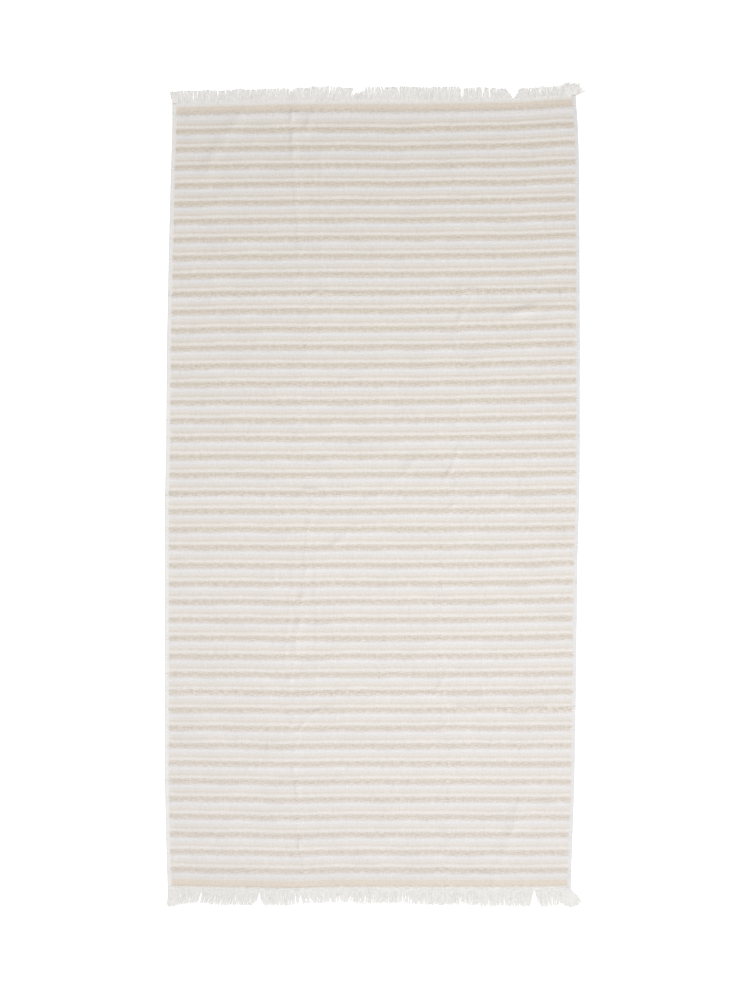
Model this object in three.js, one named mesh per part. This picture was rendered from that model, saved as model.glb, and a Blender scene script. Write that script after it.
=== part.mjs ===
// Bath sheet: a large towel with raised ribs across it and a fringe at each end.
// It lies opened out and flat, and keeps the folds that it was stored in.
// Millimetres, +X across the sheet, +Y along it and +Z up.
import * as THREE from 'three';

// Cloth
const CLOTH_THICKNESS = 2.0;
const HEADING_THICKNESS = 1.6;
const HEADING_DEPTH = 25;
const HEADING_STEP = 0.5;
const HEM_THICKNESS = 2.5;
const HEM_WIDTH = 10;
const HEM_EDGE = 0.4;

// Raised ribs, one at each dark stripe. The first one's place is its flat distance from the top end
const RIB_COUNT = 42;
const RIB_PITCH = 39.4;
const RIB_WIDTH = 12;
const RIB_SHOULDER = 2;
const RIB_HEIGHT = 0.9;
const FIRST_RIB = 63;

// Fringe
const BACKING_DEPTH = 4;
const BACKING_THICKNESS = 1.8;
const BACKING_GAP = 0.3;
const LOCKS_PER_END = 140;
const LOCK_BEND = 1.5;
const END_INSET = 1.2;
const LOCK_SHAPE = [
  { share: 0, halfWidth: 2.3, height: BACKING_THICKNESS },
  { share: 0.55, halfWidth: 1.9, height: 2.2 },
  { share: 1, halfWidth: 0.8, height: 1.3 },
];

// Lines of the weave from one side of the sheet to the other, from the top end down.
// flat is the line's distance from the top end along the cloth, and y is its place on the centre
// line where the cloth lies. The rises are how much higher the same line lies at the sides.
const WEAVE_LINES = [
  { flat: 0, y: 856, leftRise: -7.0, rightRise: 9.5, left: -436, right: 442.5 },
  { flat: 63, y: 793.1, leftRise: -5.5, rightRise: 9.6, left: -436, right: 448 },
  { flat: 141.8, y: 714.2, leftRise: -4.8, rightRise: 7.0, left: -439, right: 450.5 },
  { flat: 299.4, y: 556.1, leftRise: -4.3, rightRise: 4.6, left: -443, right: 451.5 },
  { flat: 535.8, y: 318.5, leftRise: -3.9, rightRise: 6.5, left: -448, right: 452.5 },
  { flat: 772.2, y: 79.1, leftRise: -0.4, rightRise: 5.5, left: -449.7, right: 452.3 },
  { flat: 861.4, y: -10, leftRise: -0.6, rightRise: 5.0, left: -452.6, right: 451.5 },
  { flat: 1008.6, y: -157, leftRise: -1.3, rightRise: 3.3, left: -452.4, right: 447 },
  { flat: 1245, y: -394.6, leftRise: -1.3, rightRise: 0.9, left: -452, right: 444.4 },
  { flat: 1481.4, y: -628.9, leftRise: 1.1, rightRise: -2.0, left: -452.5, right: 440.7 },
  { flat: 1678.4, y: -821, leftRise: 0.4, rightRise: -1.3, left: -447.7, right: 433.8 },
  { flat: 1724, y: -866.6, leftRise: 0.6, rightRise: 1.0, left: -446, right: 432.5 },
];
const FLAT_LENGTH = WEAVE_LINES.at(-1).flat;

// How far a fold's slopes reach to each side of its crest
const LONG_FOLD_REACH = 14;
const CROSS_FOLD_REACH = 13;

// The two long folds, which the mesh's columns follow
const LEFT_FOLD = [
  { y: 856, x: -170, height: 0.6 },
  { y: 816, x: -170, height: 2.5 },
  { y: 441, x: -157, height: 2.5 },
  { y: 404, x: -137, height: 1.5 },
  { y: 158, x: -163, height: 1.5 },
  { y: -16, x: -131, height: 2.0 },
  { y: -70, x: -136, height: 4.0 },
  { y: -400, x: -174, height: 4.0 },
  { y: -446, x: -179, height: 2.0 },
  { y: -529, x: -168, height: 2.5 },
  { y: -700, x: -157, height: 3.0 },
  { y: -845, x: -148, height: 2.6 },
  { y: -866, x: -148, height: 0.6 },
];
const RIGHT_FOLD = [
  { y: 856, x: 168, height: 0 },
  { y: 747, x: 174, height: 2.0 },
  { y: 441, x: 197, height: 2.2 },
  { y: 354, x: 177, height: 1.6 },
  { y: 27, x: 176, height: 1.8 },
  { y: -104, x: 150, height: 1.6 },
  { y: -343, x: 146, height: 1.8 },
  { y: -540, x: 163, height: 2.2 },
  { y: -845, x: 164, height: 2.0 },
  { y: -866, x: 164, height: 0.6 },
];

// The folds across the sheet, and the shorter slanting ones
const UPPER_FOLD = [
  { x: -470, y: 424, height: 2.4 },
  { x: -305, y: 426, height: 3.0 },
  { x: -280, y: 428, height: 1.4 },
  { x: 192, y: 436, height: 1.6 },
  { x: 214, y: 441, height: 4.0 },
  { x: 470, y: 432, height: 4.0 },
];
const MIDDLE_FOLD = [
  { x: -470, y: -8, height: 2.3 },
  { x: 150, y: -10, height: 2.0 },
  { x: 195, y: -10, height: 4.2 },
  { x: 470, y: -10, height: 4.5 },
];
const LOWER_FOLD_LEFT = [
  { x: -470, y: -430, height: 1.5 },
  { x: -124, y: -437, height: 2.0 },
  { x: 126, y: -437, height: 2.0 },
  { x: 160, y: -444, height: 0 },
];
const LOWER_FOLD_RIGHT = [
  { x: 160, y: -465, height: 0 },
  { x: 186, y: -468, height: 3.5 },
  { x: 470, y: -470, height: 3.5 },
];
const FOLDS = [
  { reach: LONG_FOLD_REACH, path: LEFT_FOLD },
  { reach: LONG_FOLD_REACH, path: RIGHT_FOLD },
  { reach: CROSS_FOLD_REACH, path: UPPER_FOLD },
  { reach: CROSS_FOLD_REACH, path: MIDDLE_FOLD },
  { reach: CROSS_FOLD_REACH, path: LOWER_FOLD_LEFT },
  { reach: CROSS_FOLD_REACH, path: LOWER_FOLD_RIGHT },
];

// Rows of the mesh at the cross folds: where each crosses the centre line, and shares of its reach
const CROSS_FOLD_LINES = [432, -10, -437, -469];
const CROSS_FOLD_ROWS = [-1, -0.5, 0, 0.5, 1];
const UNDERSIDE_RIB_STEP = 2;
const CLOSEST_ROWS = 1;

// Locks of the fringe: how they lean at their tips, how long they are, and where they part
const TOP_FRINGE = {
  line: WEAVE_LINES[0],
  side: 1,
  seed: 11,
  lengths: [
    { x: -440, length: 24 },
    { x: -200, length: 26 },
    { x: 0, length: 26.5 },
    { x: 300, length: 25.5 },
    { x: 445, length: 25 },
  ],
  leans: [
    { x: -440, lean: -3.5 },
    { x: -405, lean: 0 },
    { x: -110, lean: 1.5 },
    { x: -80, lean: 6 },
    { x: -50, lean: 2 },
    { x: 300, lean: 0 },
    { x: 405, lean: 1 },
    { x: 425, lean: 8 },
    { x: 442, lean: 22 },
  ],
  partings: [
    { x: -400, spread: 2.5, reach: 10 },
    { x: -175, spread: 3.5, reach: 12 },
    { x: -43.6, spread: 4.5, reach: 14 },
    { x: 57, spread: 2.5, reach: 10 },
    { x: 165, spread: 2.5, reach: 10 },
    { x: 235, spread: 2.5, reach: 10 },
    { x: 305, spread: 5.0, reach: 14 },
  ],
};
const BOTTOM_FRINGE = {
  line: WEAVE_LINES.at(-1),
  side: -1,
  seed: 23,
  lengths: [
    { x: -446, length: 30 },
    { x: -160, length: 30 },
    { x: -130, length: 26 },
    { x: 0, length: 25 },
    { x: 40, length: 29 },
    { x: 435, length: 30 },
  ],
  leans: [
    { x: -446, lean: -1 },
    { x: -400, lean: -4 },
    { x: -260, lean: -4 },
    { x: -200, lean: 0 },
    { x: 380, lean: 1 },
    { x: 412, lean: 5 },
    { x: 430, lean: 14 },
  ],
  partings: [
    { x: -245, spread: 5.0, reach: 14 },
    { x: -165, spread: 2.5, reach: 10 },
    { x: 65, spread: 2.5, reach: 10 },
    { x: 353, spread: 5.5, reach: 14 },
  ],
};
const LENGTH_UNEVENNESS = 1.6;
const LEAN_UNEVENNESS = 0.5;

const clothMaterial = new THREE.MeshStandardMaterial({ color: 0xe4ddd4, roughness: 0.95, metalness: 0 });
const fringeMaterial = new THREE.MeshStandardMaterial({ color: 0xece8e2, roughness: 0.95, metalness: 0 });

// A table's column at a place between two of its rows, in a straight line from one to the next.
function between(table, key, column, place) {
  const rising = table[0][key] < table.at(-1)[key];
  const rows = rising ? table : [...table].reverse();
  const clamped = THREE.MathUtils.clamp(place, rows[0][key], rows.at(-1)[key]);
  const next = Math.max(1, rows.findIndex((row) => row[key] >= clamped));
  const [low, high] = [rows[next - 1], rows[next]];
  const share = (clamped - low[key]) / (high[key] - low[key]);
  return THREE.MathUtils.lerp(low[column], high[column], share);
}

// The line of the weave at a flat distance from the top end.
function weaveLine(flat) {
  const line = { flat };
  for (const column of ['y', 'leftRise', 'rightRise', 'left', 'right']) {
    line[column] = between(WEAVE_LINES, 'flat', column, flat);
  }
  return line;
}

// How far a weave line lies above its y on the centre line: a curve through its three heights.
function riseAt(line, x) {
  const leftSlope = line.leftRise / line.left;
  const rightSlope = line.rightRise / line.right;
  const bend = (rightSlope - leftSlope) / (line.right - line.left);
  return x * (leftSlope + bend * (x - line.left));
}

// The height of one fold at a point: a smooth ridge along the fold's path, level outside its reach.
function ridge(fold, x, y) {
  let nearest = { distance: Infinity, height: 0 };
  for (let i = 1; i < fold.path.length; i += 1) {
    const [from, to] = [fold.path[i - 1], fold.path[i]];
    const [runX, runY] = [to.x - from.x, to.y - from.y];
    const along = ((x - from.x) * runX + (y - from.y) * runY) / (runX * runX + runY * runY);
    const share = THREE.MathUtils.clamp(along, 0, 1);
    const distance = Math.hypot(x - from.x - share * runX, y - from.y - share * runY);
    if (distance < nearest.distance) {
      nearest = { distance, height: THREE.MathUtils.lerp(from.height, to.height, share) };
    }
  }
  const fall = Math.min(nearest.distance / fold.reach, 1);
  return nearest.height * (1 + Math.cos(Math.PI * fall)) / 2;
}

function liftAt(x, y) {
  return Math.max(...FOLDS.map((fold) => ridge(fold, x, y)));
}

// The cloth's thickness: plain cloth with a rib at each stripe, flat headings and side hems.
function thicknessAt(flat, inHem) {
  if (inHem) return HEM_THICKNESS;
  if (flat < HEADING_DEPTH || flat > FLAT_LENGTH - HEADING_DEPTH) return HEADING_THICKNESS;
  const step = THREE.MathUtils.clamp(Math.round((flat - FIRST_RIB) / RIB_PITCH), 0, RIB_COUNT - 1);
  const off = Math.abs(flat - (FIRST_RIB + step * RIB_PITCH));
  const rise = THREE.MathUtils.clamp((RIB_WIDTH / 2 + RIB_SHOULDER - off) / RIB_SHOULDER, 0, 1);
  return CLOTH_THICKNESS + RIB_HEIGHT * rise;
}

// Rows of the cloth's mesh, from the top end down. The underside needs only some of them.
function clothRows() {
  const rows = [];
  const add = (flat, under) => rows.push({ flat, under });
  add(BACKING_DEPTH + BACKING_GAP, true);
  add(FLAT_LENGTH - BACKING_DEPTH - BACKING_GAP, true);
  for (let i = 0; i < RIB_COUNT; i += 1) {
    const middle = FIRST_RIB + i * RIB_PITCH;
    const foot = RIB_WIDTH / 2 + RIB_SHOULDER;
    add(middle - foot, i % UNDERSIDE_RIB_STEP === 0);
    add(middle - RIB_WIDTH / 2, false);
    add(middle + RIB_WIDTH / 2, false);
    add(middle + foot, false);
  }
  for (const heading of [HEADING_DEPTH, FLAT_LENGTH - HEADING_DEPTH]) {
    add(heading - HEADING_STEP, false);
    add(heading + HEADING_STEP, false);
  }
  for (const y of CROSS_FOLD_LINES) {
    const crest = between(WEAVE_LINES, 'y', 'flat', y);
    for (const share of CROSS_FOLD_ROWS) add(crest + share * CROSS_FOLD_REACH, true);
  }
  rows.sort((a, b) => a.flat - b.flat);
  return thinned(rows);
}

// Of two rows that nearly meet only one is kept, and the underside uses it if it used either.
function thinned(rows) {
  const kept = [];
  for (const row of rows) {
    const last = kept.at(-1);
    if (last && row.flat - last.flat < CLOSEST_ROWS) last.under ||= row.under;
    else kept.push(row);
  }
  return kept;
}

// Columns of the cloth's mesh in one row: the hems, the two long folds and even steps between.
function clothColumns(line) {
  const leftFold = between(LEFT_FOLD, 'y', 'x', line.y);
  const rightFold = between(RIGHT_FOLD, 'y', 'x', line.y);
  const steps = (from, to, count) => {
    const places = [];
    for (let i = 1; i < count; i += 1) places.push({ x: THREE.MathUtils.lerp(from, to, i / count) });
    return places;
  };
  const reach = LONG_FOLD_REACH;
  const across = (x) => [{ x: x - reach }, { x }, { x: x + reach }];
  const innerLeft = line.left + HEM_WIDTH;
  const innerRight = line.right - HEM_WIDTH;
  return [
    { x: line.left, inHem: true },
    { x: innerLeft, inHem: true },
    { x: innerLeft + HEM_EDGE },
    ...steps(innerLeft, leftFold - reach, 2),
    ...across(leftFold),
    ...steps(leftFold + reach, rightFold - reach, 3),
    ...across(rightFold),
    ...steps(rightFold + reach, innerRight, 2),
    { x: innerRight - HEM_EDGE },
    { x: innerRight, inHem: true },
    { x: line.right, inHem: true },
  ];
}

// A closed mesh is gathered point by point: faces are lists of points, turned outwards.
class Shell {
  constructor() {
    this.positions = [];
    this.triangles = [];
  }

  point(x, y, z) {
    this.positions.push(x, y, z);
    return this.positions.length / 3 - 1;
  }

  face(...corners) {
    for (let i = 2; i < corners.length; i += 1) {
      this.triangles.push(corners[0], corners[i - 1], corners[i]);
    }
  }

  geometry() {
    const geometry = new THREE.BufferGeometry();
    geometry.setAttribute('position', new THREE.Float32BufferAttribute(this.positions, 3));
    geometry.setIndex(this.triangles);
    geometry.computeVertexNormals();
    return geometry;
  }
}

// The cloth: a top with its ribs and folds, an underside that is level but under the folds,
// and a rim between the two.
function clothGeometry() {
  const shell = new Shell();
  const top = [];
  const under = [];
  for (const row of clothRows()) {
    const line = weaveLine(row.flat);
    const topRow = [];
    const underRow = [];
    for (const column of clothColumns(line)) {
      const y = line.y + riseAt(line, column.x);
      const lift = liftAt(column.x, y);
      topRow.push(shell.point(column.x, y, lift + thicknessAt(row.flat, column.inHem)));
      if (row.under) underRow.push(shell.point(column.x, y, lift));
    }
    top.push(topRow);
    if (row.under) under.push({ points: underRow, topRow: top.length - 1 });
  }
  const lastColumn = top[0].length - 1;
  for (let r = 1; r < top.length; r += 1) {
    for (let c = 0; c < lastColumn; c += 1) {
      shell.face(top[r][c], top[r][c + 1], top[r - 1][c + 1], top[r - 1][c]);
    }
  }
  for (let r = 1; r < under.length; r += 1) {
    const [high, low] = [under[r - 1], under[r]];
    for (let c = 0; c < lastColumn; c += 1) {
      shell.face(high.points[c], high.points[c + 1], low.points[c + 1], low.points[c]);
    }
    const side = top.slice(high.topRow, low.topRow + 1);
    const leftSide = side.map((row) => row[0]).reverse();
    const rightSide = side.map((row) => row[lastColumn]);
    shell.face(low.points[0], ...leftSide, high.points[0]);
    shell.face(high.points[lastColumn], ...rightSide, low.points[lastColumn]);
  }
  for (let c = 0; c < lastColumn; c += 1) {
    const [first, last] = [under[0].points, under.at(-1).points];
    shell.face(first[c + 1], first[c], top[0][c], top[0][c + 1]);
    shell.face(last[c], last[c + 1], top.at(-1)[c + 1], top.at(-1)[c]);
  }
  return shell.geometry();
}

// A repeatable source of uneven numbers from -1 to 1.
function unevenNumbers(seed) {
  let state = seed;
  return () => {
    state = (state * 16807) % 2147483647;
    return 2 * (state / 2147483647) - 1;
  };
}

// Where each lock of a fringe starts, how far its tip leans to the side and how long it is.
function fringeLocks(fringe) {
  const uneven = unevenNumbers(fringe.seed);
  const firstX = fringe.line.left + LOCK_SHAPE[0].halfWidth + END_INSET;
  const lastX = fringe.line.right - LOCK_SHAPE[0].halfWidth - END_INSET;
  const locks = [];
  for (let i = 0; i < LOCKS_PER_END; i += 1) {
    const x = THREE.MathUtils.lerp(firstX, lastX, i / (LOCKS_PER_END - 1));
    let lean = between(fringe.leans, 'x', 'lean', x) + LEAN_UNEVENNESS * uneven();
    for (const parting of fringe.partings) {
      const away = x - parting.x;
      lean += parting.spread * Math.sign(away) * Math.exp(-Math.abs(away) / parting.reach);
    }
    const length = between(fringe.lengths, 'x', 'length', x) + LENGTH_UNEVENNESS * uneven();
    locks.push({ x, lean, length });
  }
  return locks;
}

// One fringe: a narrow backing along the cloth's end, with three-sided locks that lie level.
// The top fringe points to +Y. The bottom one points to -Y, so its faces are turned over.
function fringeGeometry(fringe) {
  const shell = new Shell();
  const { line, side } = fringe;
  const place = (x, out, z, lean = 0) => {
    const flat = line.flat - side * out;
    return shell.point(x + lean, line.y + side * out + riseAt(weaveLine(flat), x), z);
  };
  const face = (...corners) => shell.face(...(side > 0 ? corners : corners.reverse()));
  const back = (x) => ({
    backLow: place(x, -BACKING_DEPTH, 0),
    backHigh: place(x, -BACKING_DEPTH, BACKING_THICKNESS),
  });
  const corner = (x) => ({
    ...back(x),
    frontLow: place(x, 0, 0),
    frontHigh: place(x, 0, BACKING_THICKNESS),
  });
  let before = corner(line.left);
  face(before.backLow, before.backHigh, before.frontHigh, before.frontLow);
  for (const lock of fringeLocks(fringe)) {
    const rings = LOCK_SHAPE.map(({ share, halfWidth, height }) => {
      const [out, lean] = [lock.length * share, lock.lean * share ** LOCK_BEND];
      return [
        place(lock.x - halfWidth, out, 0, lean),
        place(lock.x + halfWidth, out, 0, lean),
        place(lock.x, out, height, lean),
      ];
    });
    for (let i = 1; i < rings.length; i += 1) {
      const [near, far] = [rings[i - 1], rings[i]];
      face(near[0], near[2], far[2], far[0]);
      face(near[2], near[1], far[1], far[2]);
      face(near[1], near[0], far[0], far[1]);
    }
    const tip = rings.at(-1);
    face(tip[0], tip[2], tip[1]);
    const [leftFoot, rightFoot, crest] = rings[0];
    const here = back(lock.x);
    face(before.frontLow, before.frontHigh, crest, leftFoot);
    face(before.frontHigh, before.backHigh, here.backHigh, crest);
    face(before.backHigh, before.backLow, here.backLow, here.backHigh);
    face(before.backLow, before.frontLow, leftFoot, here.backLow);
    face(here.backLow, leftFoot, rightFoot);
    before = { ...here, frontLow: rightFoot, frontHigh: crest };
  }
  const end = corner(line.right);
  face(before.frontLow, before.frontHigh, end.frontHigh, end.frontLow);
  face(before.frontHigh, before.backHigh, end.backHigh, end.frontHigh);
  face(before.backHigh, before.backLow, end.backLow, end.backHigh);
  face(before.backLow, before.frontLow, end.frontLow, end.backLow);
  face(end.backLow, end.frontLow, end.frontHigh, end.backHigh);
  return shell.geometry();
}

function namedMesh(name, geometry, material) {
  const mesh = new THREE.Mesh(geometry, material);
  mesh.name = name;
  return mesh;
}

const bathSheet = new THREE.Group();
bathSheet.add(namedMesh('towel_cloth', clothGeometry(), clothMaterial));
bathSheet.add(namedMesh('fringe_top', fringeGeometry(TOP_FRINGE), fringeMaterial));
bathSheet.add(namedMesh('fringe_bottom', fringeGeometry(BOTTOM_FRINGE), fringeMaterial));

// The origin is at the middle of the sheet's box, on the surface that it lies on.
const box = new THREE.Box3().setFromObject(bathSheet);
const middle = box.getCenter(new THREE.Vector3());
for (const mesh of bathSheet.children) mesh.position.set(-middle.x, -middle.y, 0);

export default bathSheet;
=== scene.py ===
"""Bath sheet with raised stripes and a fringe at each end, laid out flat and seen from above.

Sizes are in millimetres on the plan of the sheet and become metres when a mesh is made. The
plan has x across the sheet and y along it, towards the end that is at the top of the picture.
"""

import bpy
import numpy as np
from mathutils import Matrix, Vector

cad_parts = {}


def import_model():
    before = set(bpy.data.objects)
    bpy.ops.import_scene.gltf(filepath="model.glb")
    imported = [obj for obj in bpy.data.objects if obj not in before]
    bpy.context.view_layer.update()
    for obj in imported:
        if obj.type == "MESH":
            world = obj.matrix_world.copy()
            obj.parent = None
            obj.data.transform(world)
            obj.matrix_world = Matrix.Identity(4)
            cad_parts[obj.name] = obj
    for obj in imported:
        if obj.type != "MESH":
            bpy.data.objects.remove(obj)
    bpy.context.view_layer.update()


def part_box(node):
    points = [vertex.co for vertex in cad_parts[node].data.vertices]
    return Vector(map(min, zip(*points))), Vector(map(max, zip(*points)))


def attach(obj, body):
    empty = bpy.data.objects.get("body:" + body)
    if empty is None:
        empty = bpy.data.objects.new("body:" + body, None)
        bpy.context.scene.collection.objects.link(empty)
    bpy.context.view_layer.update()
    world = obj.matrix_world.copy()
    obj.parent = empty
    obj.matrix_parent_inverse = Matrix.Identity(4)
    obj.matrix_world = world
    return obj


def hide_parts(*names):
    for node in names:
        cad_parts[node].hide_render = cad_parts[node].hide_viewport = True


MM = 0.001


def table(names, *rows):
    """A short table as one array for each named column."""
    return dict(zip(names.split(), np.array(rows, float).T))


def read(source, key, column, at):
    """A table's column at places between its rows, in straight lines from row to row."""
    order = np.argsort(source[key])
    return np.interp(at, source[key][order], source[column][order])


# Lines of the weave from side to side, from the top end down: the distance from the top end
# along the cloth, y on the centre line where the cloth lies, how much higher the line lies at its
# two ends, and where the two side edges are.
WEAVE_LINES = table(
    "flat y left_rise right_rise left right",
    (0, 856, -7.0, 9.5, -436, 442.5),
    (63, 793.1, -5.5, 9.6, -436, 448),
    (141.8, 714.2, -4.8, 7.0, -439, 450.5),
    (299.4, 556.1, -4.3, 4.6, -443, 451.5),
    (535.8, 318.5, -3.9, 6.5, -448, 452.5),
    (772.2, 79.1, -0.4, 5.5, -449.7, 452.3),
    (861.4, -10, -0.6, 5.0, -452.6, 451.5),
    (1008.6, -157, -1.3, 3.3, -452.4, 447),
    (1245, -394.6, -1.3, 0.9, -452, 444.4),
    (1481.4, -628.9, 1.1, -2.0, -452.5, 440.7),
    (1678.4, -821, 0.4, -1.3, -447.7, 433.8),
    (1724, -866.6, 0.6, 1.0, -446, 432.5),
)
# How much further up some lines lie at places across, past the curve through those heights:
# the distance from the top end, then one number for each place
WAVE_ACROSS = (-430, -300, -180, -60, 60, 180, 300, 430)
WAVES = np.array(
    [
        (10, -0.5, 1.0, 2.4, 1.2, -1.5, -2.4, -2.8, 1.6),
        (63, -0.2, 0.9, 1.0, 0.2, -2.7, -1.7, -2.2, 1.2),
        (299, -0.5, 0.6, 0.7, 0.4, -1.0, -0.9, -1.5, 1.1),
        (536, 0.0, 1.7, 1.4, 0.1, -0.5, -0.8, 0.3, 1.6),
        (772, 0.0, 0.9, 0.1, 0.2, 0.0, 0.0, 0.0, 0.1),
        (890, 0.0, 0.8, 0.4, -0.3, 0.4, -0.5, -1.4, -1.7),
        (1009, 0.5, 0.6, -1.0, 0.0, -0.9, -1.0, -0.6, 1.6),
        (1245, 0.8, 0.2, -1.6, -0.5, -0.5, -0.2, 0.0, 1.6),
        (1481, 1.1, 0.0, -2.0, 0.1, 0.5, 1.2, 1.0, 1.7),
        (1678, 1.1, -1.1, -3.0, 0.3, 0.2, 0.0, -0.1, 1.2),
    ]
)
FLAT_WIDTH = 900
FLAT_LENGTH = WEAVE_LINES["flat"].max()
EDGE_ROUNDING = 30
EDGE_SAMPLES = 9

# The cloth's build, as in the solids: thicknesses and heights, and where its ribs lie. The solid
# cloth ends where the fringe's backing and the gap beside it begin.
CLOTH_THICKNESS = 2.0
HEADING_THICKNESS = 1.6
HEM_THICKNESS = 2.5
RIB_COUNT = 42
RIB_PITCH = 39.4
FIRST_RIB = 63
RIB_HEIGHT = 0.75
SMALL_RIB_AT = 29.6
SMALL_RIB_HEIGHT = 0.35
BACKING_DEPTH = 4
BACKING_GAP = 0.3

# How far each of them is level, from its middle or from the cloth's edge, and how far its
# shoulder then runs. The seam sinks between the hem and the cloth.
RIB = (1.5, 5.0)
SMALL_RIB = (1.0, 2.0)
HEADING = (22.0, 5.0)
HEM = (8.0, 2.6)
SEAM = (0.2, 1.2)
SEAM_INSET = 7.6
SEAM_DEPTH = 0.3

# Ripples, the smooth unevenness of a laid cloth: how many waves cross in one, how long they are
# for its size, and which sum of them counts as 1. Each ripple is its amount, size and seed.
RIPPLE_WAVES = 5
RIPPLE_LENGTHS = (0.7, 1.6)
RIPPLE_PEAK = 2.8
BENDS_ACROSS = ((1.8, 110, 3), (0.7, 34, 13))
BENDS_ALONG = ((1.2, 150, 4),)
CREST_BREAKS = ((0.3, 90, 5), (0.45, 34, 15))
CREST_MEAN = 0.7
CREST_LIMITS = (0.1, 1.4)
CREST_SHARPNESS = 1.25
SWELLS = ((0.25, 260, 6), (0.12, 70, 16))
SWELL_MEAN = 0.37

# Folds: the points of each crest with its height there, and then how far its slopes reach
XYH = "x y height"
LEFT_FOLD = table(
    XYH,
    (-172, 856, 0.8),
    (-172, 816, 3.4),
    (-173, 740, 3.4),
    (-166, 690, 2.2),
    (-157, 441, 1.6),
    (-137, 404, 1.0),
    (-163, 158, 0.9),
    (-131, -16, 1.2),
    (-137, -70, 2.2),
    (-155, -250, 2.6),
    (-174, -390, 2.2),
    (-184, -440, 1.0),
    (-172, -529, 1.0),
    (-170, -600, 2.6),
    (-158, -760, 2.6),
    (-150, -845, 1.2),
    (-148, -866, 0.4),
)
RIGHT_FOLD = table(
    XYH,
    (168, 856, 0),
    (174, 747, 1.6),
    (197, 441, 1.8),
    (190, 354, 1.0),
    (186, 27, 0.9),
    (150, -104, 0.8),
    (146, -343, 1.0),
    (163, -540, 1.3),
    (164, -845, 1.2),
    (164, -866, 0.4),
)
UPPER_FOLD = table(
    XYH,
    (-470, 424, 1.2),
    (-305, 426, 1.0),
    (-280, 428, 0.5),
    (160, 434, 0.6),
    (192, 440, 1.5),
    (230, 442, 0.9),
    (470, 432, 0.9),
)
MIDDLE_FOLD = table(XYH, (-470, -8, 1.2), (150, -10, 1.2), (195, -10, 2.2), (470, -10, 2.4))
LOWER_FOLD_LEFT = table(XYH, (-470, -430, 0.7), (-124, -437, 0.9), (126, -437, 0.9), (160, -444, 0))
LOWER_FOLD_RIGHT = table(XYH, (150, -465, 0), (186, -468, 2.4), (470, -470, 2.6))
FOLDS = [
    (13, LEFT_FOLD),
    (13, RIGHT_FOLD),
    (11, UPPER_FOLD),
    (11, MIDDLE_FOLD),
    (10, LOWER_FOLD_LEFT),
    (10, LOWER_FOLD_RIGHT),
]

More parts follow.
